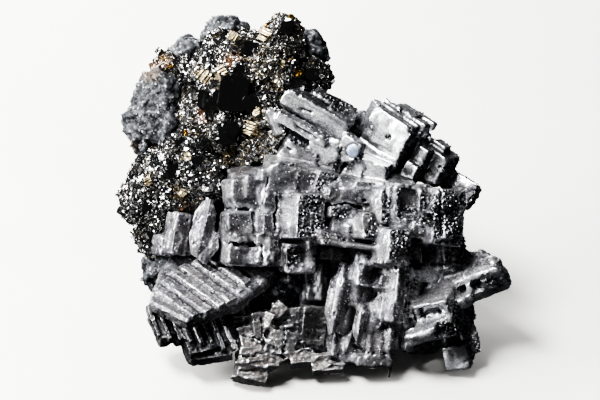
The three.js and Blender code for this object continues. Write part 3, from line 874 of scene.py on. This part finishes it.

# %% [markdown]
# What shows most on the main cluster is placed from the photograph: small crystals that
# stand out of its faces, pits, and splits. They could be scattered too, but these are the few
# that tell this specimen from another.

# %% What is seen on the main cluster
SEEN_GROWTHS = [  # pixel x, y, width and height in pixels, and how far it stands out in millimetres
    (238, 190, 16, 20, 0.5), (251, 187, 15, 24, 0.9), (268, 178, 20, 14, 0.6), (262, 197, 15, 16, 0.6),
    (285, 171, 22, 12, 0.5), (300, 177, 14, 12, 0.6), (236, 222, 20, 17, 0.7), (251, 231, 17, 18, 0.5),
    (240, 238, 15, 10, 0.9), (267, 224, 12, 22, 0.7), (275, 240, 8, 30, 0.6), (237, 256, 22, 15, 0.6),
    (257, 258, 13, 13, 0.8), (271, 262, 11, 12, 0.6), (344, 200, 15, 14, 0.6), (334, 212, 14, 13, 0.7),
    (361, 193, 22, 14, 0.6), (375, 206, 13, 18, 0.7), (350, 231, 12, 13, 0.8), (385, 216, 14, 15, 0.7),
    (372, 222, 12, 12, 0.5), (391, 192, 9, 13, 0.6), (422, 200, 12, 20, 0.6), (425, 229, 16, 13, 0.6),
    (448, 201, 15, 17, 0.5), (451, 228, 17, 18, 0.6), (402, 245, 15, 15, 0.5), (330, 186, 14, 14, 0.6),
    (350, 176, 24, 8, 0.5), (312, 245, 12, 10, 0.6), (330, 243, 24, 6, 0.6), (356, 168, 20, 12, 0.4),
    (438, 272, 16, 10, 0.6), (425, 288, 16, 10, 0.6), (460, 262, 18, 10, 0.5), (480, 258, 14, 10, 0.5),
    (420, 335, 22, 7, 0.7), (432, 316, 14, 8, 0.6), (490, 285, 14, 14, 0.6), (470, 297, 9, 9, 0.7),
    (330, 104, 24, 5, 0.5), (322, 97, 20, 4, 0.4), (338, 115, 22, 4, 0.5),
    (405, 112, 26, 4, 0.6), (415, 121, 24, 4, 0.6), (392, 106, 20, 4, 0.6), (425, 150, 12, 10, 0.6),
]
SEEN_PITS = [  # pixel x, y, then the radius, the depth and the radius of a ring, in millimetres
    (364, 201, 0.55, 0.9, 0), (430, 217, 0.6, 1.1, 0), (371, 128, 0.32, 0.3, 0.5),
    (353, 151, 0.3, 0.35, 1.4), (361, 156, 0.45, 0.8, 0), (345, 240, 0.5, 0.8, 0),
    (382, 263, 0.7, 1.0, 0), (395, 268, 0.6, 0.9, 0),
    (298, 226, 0.45, 0.5, 0), (458, 262, 0.5, 0.8, 0), (411, 330, 0.6, 0.9, 0), (290, 131, 0.4, 0.6, 0),
]
SEEN_SPLITS = [  # from pixel x, y to x, y, then half the width in pixels and the depth in millimetres
    (226, 208, 249, 209, 1.9, 0.9), (226, 243, 253, 245, 1.9, 0.9), (275, 214, 275, 229, 1.7, 0.8),
    (345, 164, 336, 180, 1.7, 0.7), (302, 109, 311, 112, 1.6, 0.6), (297, 127, 317, 139, 1.6, 0.6),
    (280, 145, 291, 151, 2.2, 0.9), (326, 138, 338, 145, 1.8, 0.8), (253, 213, 255, 243, 1.6, 0.5),
    (262, 246, 262, 266, 1.6, 0.6), (262, 206, 268, 178, 1.5, 0.5), (277, 196, 277, 214, 1.6, 0.6),
    (330, 205, 345, 203, 1.6, 0.6), (345, 203, 362, 208, 1.6, 0.6), (385, 182, 386, 206, 1.5, 0.4),
    (440, 190, 442, 236, 1.5, 0.5), (360, 136, 372, 146, 1.3, 0.35), (372, 146, 392, 156, 1.3, 0.35),
]
print(len(SEEN_GROWTHS), "crystals,", len(SEEN_PITS), "pits and", len(SEEN_SPLITS), "splits are named")

# %% [markdown]
# Where growth stopped, the crystals end in a black granular crust. It covers the faces that look
# to the right, and a few more that are named by pixel. On the right-turned faces its black is also
# painted shade, on the side that the lights don't reach. The frosting follows the settings: the
# slabs and the corner cube are clean, and the columns are frosted most.

# %% Crust and frosting of the main cluster
ENCRUSTED = [(447, 212, 21), (408, 215, 10), (400, 244, 13)]  # spots, as near_spots takes them
GRANULAR_SPOTS = [(322, 183, 13), (425, 212, 14), (490, 287, 15), (312, 218, 14), (448, 330, 12)]
FROSTED = {SLABS: 0.0, CUBES: 0.0, BAND: 0.9, COLUMNS: 1.0, ARMS: 0.4}
DULL_SPOTS = [(250, 215, 42), (290, 178, 20), (345, 180, 22)]
CLEAN_SPOTS = [(289, 212, 15), (350, 225, 12), (388, 240, 10), (320, 116, 34)]
SMOOTH_SPOTS = [(428, 262, 26), (345, 190, 20), (455, 285, 16)]
TOPS = (0.1, 0.9, 0.45)  # the direction, on the display face, that dust and frosting settle from


def granular_crust_and_side_shade(piece):
    """Where the crystals end in a black granular crust, which on the right-turned faces is also painted
    shade.
    """
    points = points_of(piece.data)
    places = on_display_face(points)
    # painted shade: faces turned to the right, away from the lights, are given the black crust
    turned = facing(piece, (1, 0, 0.25), low=0.42, high=0.6)
    turned *= np.clip((places[:, 0] + 9) / 3, 0.1, 1)
    in_columns = next(mask for mask, turn in cluster_settings(places) if turn == COLUMNS)
    turned *= np.where(in_columns, 0.25, 1.0) * (1 - near_spots(points, SMOOTH_SPOTS))
    named = near_spots(points, GRANULAR_SPOTS) * facing(piece, (0.3, 0, 1), low=0.5, high=0.7)
    patchy = np.clip(noise_at(places, size=2.5, seed=3.0) * 2.5 + 1.1, 0.4, 1)
    return np.maximum(np.maximum(turned, named), near_spots(points, ENCRUSTED)) * patchy


def cluster_frost(piece, places):
    """The frosting of the cluster: some on every face of the duller settings, and more on the tops."""
    tops = facing(piece, TOPS, low=0.25, high=0.75)
    points = points_of(piece.data)
    named = near_spots(points, DULL_SPOTS) * 0.3 - near_spots(points, CLEAN_SPOTS) * 0.4
    varied = 1 + noise_at(places, size=5, seed=8.0) * 0.6
    return by_setting(cluster_settings, places, FROSTED) * varied + tops * 0.4 + named


def no_crust(piece):
    """No granular crust anywhere."""
    return np.zeros(len(piece.data.vertices))


def even_frost(level):
    """A frosting that is the same all over, with more on the tops."""
    return lambda piece, places: level + facing(piece, TOPS, low=0.25, high=0.75) * 0.5


print("the columns are frosted by", FROSTED[COLUMNS], "and the slabs by", FROSTED[SLABS])

# %% [markdown]
# The main cluster has five settings, and each has blocks of its own shape: long plates on the
# slabs, cubes on the corner and the band, and pillars in the columns. Its numbers are given
# setting by setting, because one number for the whole made all of them look alike.

# %% The main cluster
CLUSTER_SIZES = {BAND: (2.4, 2.2, 1.8), COLUMNS: (1.0, 4.5, 1.0), ARMS: (2.8, 1.5, 1.5)}
cluster_bm = merged_copy("galena_cluster")
add_seen_crystals(cluster_bm, cluster_settings, SEEN_GROWTHS)
scatter_crystals(
    cluster_bm, cluster_settings, count=60, seed=4, sizes_mm=CLUSTER_SIZES, stand_mm=(0.15, 0.5),
)
cluster = finished(cluster_bm, "galena-cluster-grown")
grow_galena(cluster, "galena_cluster", cluster_settings, {
    "voxel_mm": 0.25, "most": 196000, "small_pits": 90, "pits": SEEN_PITS, "splits": SEEN_SPLITS,
    "tarnish": 0.05,
    "melted": {SLABS: 0.25, CUBES: 0.2, BAND: 0.7, COLUMNS: 1.0, ARMS: 0.6},
    "rims": {SLABS: 0.5, CUBES: 0.6, BAND: 0.5, COLUMNS: 0.3, ARMS: 0.5},
    "steps_mm": {SLABS: 0.09, CUBES: 0.12, BAND: 0.16, COLUMNS: 0.2, ARMS: 0.16},
    "blocks": {
        SLABS: (12, 2.2, 2.6), CUBES: (5, 3, 5), BAND: (3, 3, 3), COLUMNS: (1.7, 7, 1.7), ARMS: (5, 3, 3),
    },
    "rough": granular_crust_and_side_shade, "frost": cluster_frost,
})

# %% [markdown]
# The smaller galena pieces are grown in the same way, each with the one setting of its crystals.
# The flaky crystals at the foot are tarnished brown.

# %% The smaller galena pieces
striated = finished(merged_copy("striated_galena_crystal"), "striated-crystal-grown")
grow_galena(striated, "striated_galena_crystal", one_setting(STRIATED), {
    "voxel_mm": 0.23, "most": 120000, "small_pits": 100, "pits": [], "splits": [], "tarnish": 0.12,
    "melted": {STRIATED: 0.25}, "rims": {STRIATED: 0.6}, "steps_mm": {STRIATED: 0.16},
    "blocks": {STRIATED: (7, 2.7, 2)}, "rough": lambda piece: no_crust(piece) + 0.14,
    "frost": even_frost(0.85),
})

spears = finished(merged_copy("galena_spears"), "spear-crystals-grown")
grow_galena(spears, "galena_spears", one_setting(SPEARS), {
    "voxel_mm": 0.23, "most": 70000, "small_pits": 40, "pits": [], "splits": [], "tarnish": 0.1,
    "melted": {SPEARS: 0.7}, "rims": {SPEARS: 0.4}, "steps_mm": {SPEARS: 0.2},
    "blocks": {SPEARS: (1.6, 4, 1.6)}, "rough": no_crust, "frost": even_frost(1.0),
})

FOOT_SPLITS = [
    (244, 335, 262, 340, 1.8, 0.8), (262, 318, 264, 350, 1.8, 0.8), (240, 357, 270, 352, 1.6, 0.6),
    (285, 330, 284, 352, 1.8, 0.8), (270, 352, 285, 358, 1.8, 0.8), (300, 352, 318, 350, 1.7, 0.7),
]
flakes_bm = merged_copy("galena_flakes")
scatter_crystals(
    flakes_bm, one_setting(FLAKES), count=36, seed=9, sizes_mm={FLAKES: (3, 0.8, 2.2)}, stand_mm=(0.3, 0.9),
)
flakes = finished(flakes_bm, "flaky-crystals-grown")
grow_galena(flakes, "galena_flakes", one_setting(FLAKES), {
    "voxel_mm": 0.23, "most": 100000, "small_pits": 60, "pits": [], "splits": FOOT_SPLITS, "tarnish": 0.45,
    "melted": {FLAKES: 0.3}, "rims": {FLAKES: 0.8}, "steps_mm": {FLAKES: 0.16},
    "blocks": {FLAKES: (2.6, 0.7, 2.2)}, "rough": lambda piece: no_crust(piece) + 0.1,
    "frost": even_frost(0.5),
})

# %% [markdown]
# The massive ore and the ground of the crust have no flat faces to keep, so they are carved by
# noise alone: swells of a few millimetres, and small angular knobs over them. The ore has pits too.

# %% The massive ore
def break_up(piece, voxel_mm, swells, knobs):
    """Carves a rock by swells, and by knobs that are each given by their size and height."""
    fuse(piece, voxel_mm)
    soften(piece, rounds=2)
    places = on_display_face(points_of(piece.data))
    push(piece.data, swells_at(places, swells))
    everywhere = np.ones(len(places))
    for size_mm, height_mm in knobs:
        crust_over(piece, everywhere, size_mm, height_mm)


ORE_GAIN = 3  # of the painted shade and the painted highlight, per millimetre of hollow or ridge
ORE_RUST = [(150, 72, 10), (300, 70, 8), (176, 64, 8), (128, 150, 10)]  # spots
ore_piece = finished(merged_copy("massive_ore"), "massive-ore-broken")
break_up(ore_piece, 0.42, swells=[(2.8, 1.0, 0.9), (1.3, 5.0, 0.5)], knobs=[(2.0, 0.6), (0.9, 0.3)])
sink_pits(ore_piece, [], count=300, seed=5)
ore_hollow = hollow_of(ore_piece, RELIEF_ROUNDS)
put_attribute(ore_piece.data, "hollow", ore_hollow * ORE_GAIN)
put_attribute(ore_piece.data, "ridge", -ore_hollow * ORE_GAIN - 0.1)
put_attribute(ore_piece.data, "rust", near_spots(points_of(ore_piece.data), ORE_RUST))
thin_out(ore_piece, most=170000)
hand_over(ore_piece, ore, "massive_ore")

# %% [markdown]
# On the pale face there is one blister, a flat round one. Its film is thinner than the frosting is,
# and a thin film on metal scatters more blue light than red, as smoke does.

# %% The blister
FILM_CLOUD_MM = 0.8


def blister_material():
    """Galena under a thin film, a little cloudy, that leaves most of the metal's shine."""
    material, add, at = new_material("galena, thin bluish film")
    cloud = add("TexNoise", {"Vector": at, "Scale": marks(FILM_CLOUD_MM), "Detail": 3.0})
    clouded = add("MapRange", (cloud, 0.35, 0.65))
    colour = add("Mix", (clouded, linear("#6d7c90"), linear("#9aa8ba")), data_type="RGBA")
    bump = add("Bump", {"Height": cloud, "Strength": 0.3, "Distance": 0.1 * MM})
    shader = add("BsdfPrincipled", {
        "Base Color": colour, "Metallic": 0.8, "Roughness": 0.42, "Normal": bump,
    })
    add("OutputMaterial", {"Surface": shader})
    return material


BLISTER_AT = (353, 151)  # in pixels
BLISTER_MM = 1.25
BLISTER_RISE = 0.2  # of its radius
cluster_tree = BVHTree.FromObject(cluster, bpy.context.evaluated_depsgraph_get())
blister_spot, blister_normal, _, _ = cluster_tree.ray_cast(camera_at, photo_ray(*BLISTER_AT))
flat_ball = Matrix.Diagonal((1, 1, BLISTER_RISE, 1 / (BLISTER_MM * MM))) * (BLISTER_MM * MM)
lying = blister_normal.to_track_quat("Z", "Y").to_matrix().to_4x4()
blister_bm = bmesh.new()
bmesh.ops.create_icosphere(
    blister_bm, subdivisions=4, radius=1.0, matrix=Matrix.Translation(blister_spot) @ lying @ flat_ball,
)
blister = finished(blister_bm, "bluish-blister")
blister.data.shade_smooth()
hand_over(blister, blister_material())

# %% [markdown]
# The crust of sphalerite is a druse, a carpet of small crystals. Its ground is the solid, broken
# into angular lumps. On it go large black crystals with flat faces, stacks of thin bright plates,
# a few brassy grains, and over everything between them a carpet of many thousand small grains.

# %% The ground of the crust
SPARKLE = 0.08  # the share of bright grains where no spot is named
SPARKLE_NOISE = 0.42
SPARKLE_MORE = 0.45  # what the sparkling spots add, and the dimmer ones take off
SPARKLE_LESS = 0.12
SPARKLING = [
    (262, 60, 20), (278, 82, 14), (258, 132, 20), (262, 158, 18), (298, 32, 10), (256, 26, 8), (200, 72, 9),
    (165, 62, 8), (182, 196, 10), (228, 160, 8), (298, 80, 9),
]
RUSTY = [
    (150, 70, 9), (185, 215, 10), (205, 115, 8), (240, 220, 8), (165, 62, 7), (172, 236, 8), (232, 60, 8),
]
DIMMER_SPOTS = [(150, 198, 42), (192, 165, 16)]
BARE = [(228, 92, 17), (224, 133, 14), (205, 100, 10), (292, 90, 10), (248, 48, 8), (205, 148, 10)]


def sparkle_at(points):
    """How many of the grains at each point are bright, from 0 to 1."""
    places = on_display_face(points)
    varied = SPARKLE + noise_at(places, size=2.5, seed=6.0) * SPARKLE_NOISE
    varied += near_spots(points, SPARKLING) * SPARKLE_MORE
    varied -= near_spots(points, DIMMER_SPOTS) * SPARKLE_LESS
    return np.clip(varied, 0.03, 1) * (1 - near_spots(points, BARE) * 0.8)


crust_piece = finished(merged_copy("sphalerite_crust"), "sphalerite-crust-grown")
break_up(crust_piece, 0.4, swells=[(4, 1.0, 0.7)], knobs=[(2.4, 0.9), (1.1, 0.45)])
put_attribute(crust_piece.data, "sparkle", sparkle_at(points_of(crust_piece.data)))
put_attribute(crust_piece.data, "rust", near_spots(points_of(crust_piece.data), RUSTY))
thin_out(crust_piece, most=110000)
crust_piece.data.shade_flat()
hand_over(crust_piece, sphalerite, "sphalerite_crust")

# %% [markdown]
# Well grown sphalerite has flat faces and cut corners, so a crystal is a block with its corners
# bevelled off. Each large black one is a group of three grown into one another. It is turned so
# that no facet throws the high light at the camera, since the real ones stay black.

# %% The black crystals
BLACK = (0.02, 0.0, 0.0)  # sparkle, bright and brass of a crystal
BROWN_BLACK = (0.12, 0.0, 0.0)
SILVER = (0.1, 1.0, 0.0)
BRASS = (0.2, 0.0, 1.0)
AWAY_FROM_LIGHT = (0.08, 0.4)  # in radians, down and to the right, so that the facets stay dark
BLACK_SHARES = (1, 0.7, 0.55)  # the sizes of a group's three crystals, as shares of the size named
BLACK_CRYSTALS = [  # pixel x, y and the size in millimetres
    (229, 92, 6.2), (224, 133, 5), (213, 108, 3.6), (203, 98, 3.2), (292, 86, 4), (205, 143, 3),
    (250, 102, 2.8), (248, 48, 2.6), (180, 143, 2.4), (170, 168, 2.4), (196, 160, 2.2), (146, 206, 2.4),
    (286, 26, 2.4), (238, 70, 2.2), (310, 74, 2.4), (152, 236, 2.4),
]
display_turn = Matrix((right, up, out)).transposed().to_4x4()
crystals_bm = bmesh.new()
kind_layers = [crystals_bm.verts.layers.float.new(name) for name in ("sparkle", "bright", "brass")]
crust_tree = BVHTree.FromObject(crust_piece, bpy.context.evaluated_depsgraph_get())
crystal_source = random.Random(21)


def random_turn(source):
    """Any turn at all, as a matrix."""
    return Euler([source.uniform(0, 2 * math.pi) for _ in range(3)]).to_matrix().to_4x4()


def mark_kind(verts, kind):
    """Writes what kind of crystal these points belong to."""
    for vert in verts:
        for layer, value in zip(kind_layers, kind):
            vert[layer] = value


def add_blocky_crystal(spot, turn, size_mm, kind):
    """A block whose corners are cut off, as sphalerite's are."""
    size = [size_mm * crystal_source.uniform(0.65, 1.25) * MM for _ in range(3)]
    place = Matrix.Translation(spot) @ turn @ Matrix.Diagonal(size + [1])
    made = bmesh.ops.create_cube(crystals_bm, size=1.0, matrix=place)["verts"]
    cut = bmesh.ops.bevel(
        crystals_bm, geom=made, offset=crystal_source.uniform(0.1, 0.3) * min(size), affect="VERTICES",
        segments=1, profile=0.5, material=-1,
    )
    mark_kind(cut["verts"], kind)


def jittered(low, high):
    """A small random turn about the first two axes, between two angles."""
    tilt = Euler((crystal_source.uniform(low, high), crystal_source.uniform(low, high), 0))
    return tilt.to_matrix().to_4x4()


def crust_under(x, y):
    """The spot of the crust that is seen at a pixel, or None where there is no crust."""
    return crust_tree.ray_cast(camera_at, photo_ray(x, y))[0]


def add_black_group(spot, size_mm):
    """Three black crystals grown together."""
    for share in BLACK_SHARES:
        aside = Vector([crystal_source.uniform(-1, 1) for _ in range(3)]) * (1 - share) * size_mm * MM
        spun = Matrix.Rotation(crystal_source.uniform(0, math.pi), 4, "Z")
        turn = display_turn @ jittered(*AWAY_FROM_LIGHT) @ spun
        add_blocky_crystal(spot + aside, turn, size_mm * share, BLACK)


for x, y, size_mm in BLACK_CRYSTALS:
    spot = crust_under(x, y)
    if spot:
        add_black_group(spot, size_mm)
print(len(crystals_bm.faces), "faces of black crystals")

# %% [markdown]
# Single grains of pyrite shine like brass, and in a few places thin crystals lie packed side by
# side with their bright edges out. Each of those is a row of plain plates, all a little out of
# line, because plates in perfect order look made.

# %% Brass grains and bright plates
BRASS_GRAINS = [  # pixel x, y and the size in millimetres
    (268, 27, 1.3), (297, 72, 1.3), (241, 11, 0.9), (291, 17, 0.9), (173, 66, 0.8), (186, 133, 1),
]
PLATE_STACKS = [  # x and y in pixels, the plates' length in millimetres, their turn in degrees
    (251, 130, 2.9, -20), (229, 152, 2.7, -52), (206, 77, 2.6, 52), (234, 38, 2, 62), (266, 36, 2.8, -24),
    (188, 157, 1.6, 10), (181, 195, 1.8, 46), (282, 63, 1.8, -40), (258, 112, 1.8, 24), (148, 182, 1.6, 30),
    (222, 72, 1.9, 34), (243, 165, 1.6, 10),
]
PLATE_THICK = 0.12  # of a plate's length
PLATE_STEP = 0.21
PLATE_TAPER = 0.12  # how much shorter each next plate is, as a share of the length
PLATE_DEPTH_MM = 2.2


def add_plate_stack(spot, length_mm, turn_degrees):
    """Thin bright plates side by side, edge out, as a striated crystal shows."""
    turn = display_turn @ jittered(-0.5, 0.1) @ Matrix.Rotation(math.radians(turn_degrees), 4, "Z")
    for n in range(-2, 3):
        long = length_mm * (1 - PLATE_TAPER * abs(n)) * crystal_source.uniform(0.8, 1.1)
        size = Matrix.Diagonal((long * MM, length_mm * PLATE_THICK * MM, PLATE_DEPTH_MM * MM, 1))
        step = Matrix.Translation((0, n * length_mm * PLATE_STEP * MM, 0))
        place = Matrix.Translation(spot) @ turn @ step @ jittered(-0.12, 0.12) @ size
        mark_kind(bmesh.ops.create_cube(crystals_bm, size=1.0, matrix=place)["verts"], SILVER)


for x, y, size_mm in BRASS_GRAINS:
    spot = crust_under(x, y)
    if spot:
        add_blocky_crystal(spot, random_turn(crystal_source), size_mm, BRASS)
for x, y, length_mm, turn_degrees in PLATE_STACKS:
    spot = crust_under(x, y)
    if spot:
        add_plate_stack(spot, length_mm, turn_degrees)
print(len(crystals_bm.faces), "faces of large crystals")

# %% [markdown]
# The smaller crystals of the druse are scattered over the crust by area. A few hundred of middle
# size have cut corners. The many thousand grains are copies of three plain shapes, because a shape
# that is repeated so often has to be simple.

# %% The druse
MIDDLE_CRYSTALS = 300
MIDDLE_MM = (0.8, 1.7)
GRAINS = 22000
GRAIN_LEAST_MM = 0.36  # the real ones are 0.1 to 0.4 mm, and only the coarse ones would show
GRAIN_MOST_MM = 1.1
GRAIN_SPREAD = 0.4  # of the logarithm of a grain's size
PLATE_GROUND = 1.5  # the reach in pixels of the ground that a stack keeps bare, per millimetre of plate
GRAIN_THIN = 0.65  # how readily a grain is left out where the crust sparkles little


def grain_shape(name, make, **settings):
    """A small crystal shape about one unit across, as a mesh to copy."""
    bm = bmesh.new()
    make(bm, **settings)
    bmesh.ops.recalc_face_normals(bm, faces=bm.faces)
    mesh = bpy.data.meshes.new(name)
    bm.to_mesh(mesh)
    bm.free()
    return mesh


shapes = [
    grain_shape(
        "point", bmesh.ops.create_cone, cap_ends=True, segments=3, radius1=0.75, radius2=0.14, depth=0.9,
    ),
    grain_shape("tablet", bmesh.ops.create_cube, size=1.0, matrix=Matrix.Diagonal((1.0, 0.8, 0.4, 1.0))),
    grain_shape(
        "stub", bmesh.ops.create_cone, cap_ends=True, segments=4, radius1=0.7, radius2=0.35, depth=0.8,
    ),
]
crust_mesh = crust_piece.data
crust_mesh.calc_loop_triangles()
areas = [triangle.area for triangle in crust_mesh.loop_triangles]
druse_source = random.Random(11)
picked = druse_source.choices(range(len(areas)), weights=areas, k=MIDDLE_CRYSTALS + GRAINS)
spots = []
for n in picked:
    corners = [crust_mesh.vertices[i].co for i in crust_mesh.loop_triangles[n].vertices]
    spots.append(sum(corners, Vector()) / 3)
spot_points = np.array(spots)
spot_sparkle = sparkle_at(spot_points)
plate_ground = [(x, y, length_mm * PLATE_GROUND) for x, y, length_mm, _ in PLATE_STACKS]
spot_bare = near_spots(spot_points, BARE + plate_ground)
print(len(spots), "spots picked on the crust")

# %% [markdown]
# The middle crystals go into the same mesh as the large ones. A grain is left out where a large
# crystal or a stack of plates has to show, and now and then where the crust hardly sparkles.

# %% Crystals and grains of the druse
for n in range(MIDDLE_CRYSTALS):
    size_mm = druse_source.uniform(*MIDDLE_MM)
    if spot_bare[n] < 0.5:
        add_blocky_crystal(spots[n], random_turn(druse_source), size_mm, BROWN_BLACK)
crystals = finished(crystals_bm, "sphalerite-crystals")
hand_over(crystals, sphalerite)

grains_bm = bmesh.new()
grain_sparkle = []
for n in range(MIDDLE_CRYSTALS, len(spots)):
    shape = druse_source.choice(shapes)
    grown = math.exp(abs(druse_source.gauss(0, GRAIN_SPREAD)))
    size = min(GRAIN_LEAST_MM * grown, GRAIN_MOST_MM) * MM
    turn = random_turn(druse_source)
    if max(spot_bare[n], GRAIN_THIN - spot_sparkle[n]) > druse_source.random():
        continue
    placed = shape.copy()
    placed.transform(Matrix.Translation(spots[n]) @ turn @ Matrix.Scale(size, 4))
    grains_bm.from_mesh(placed)
    grain_sparkle.extend([spot_sparkle[n]] * len(placed.vertices))
    bpy.data.meshes.remove(placed)
grains = finished(grains_bm, "sphalerite-grains")
put_attribute(grains.data, "sparkle", np.array(grain_sparkle))
put_attribute(grains.data, "rust", near_spots(points_of(grains.data), RUSTY))
hand_over(grains, sphalerite)
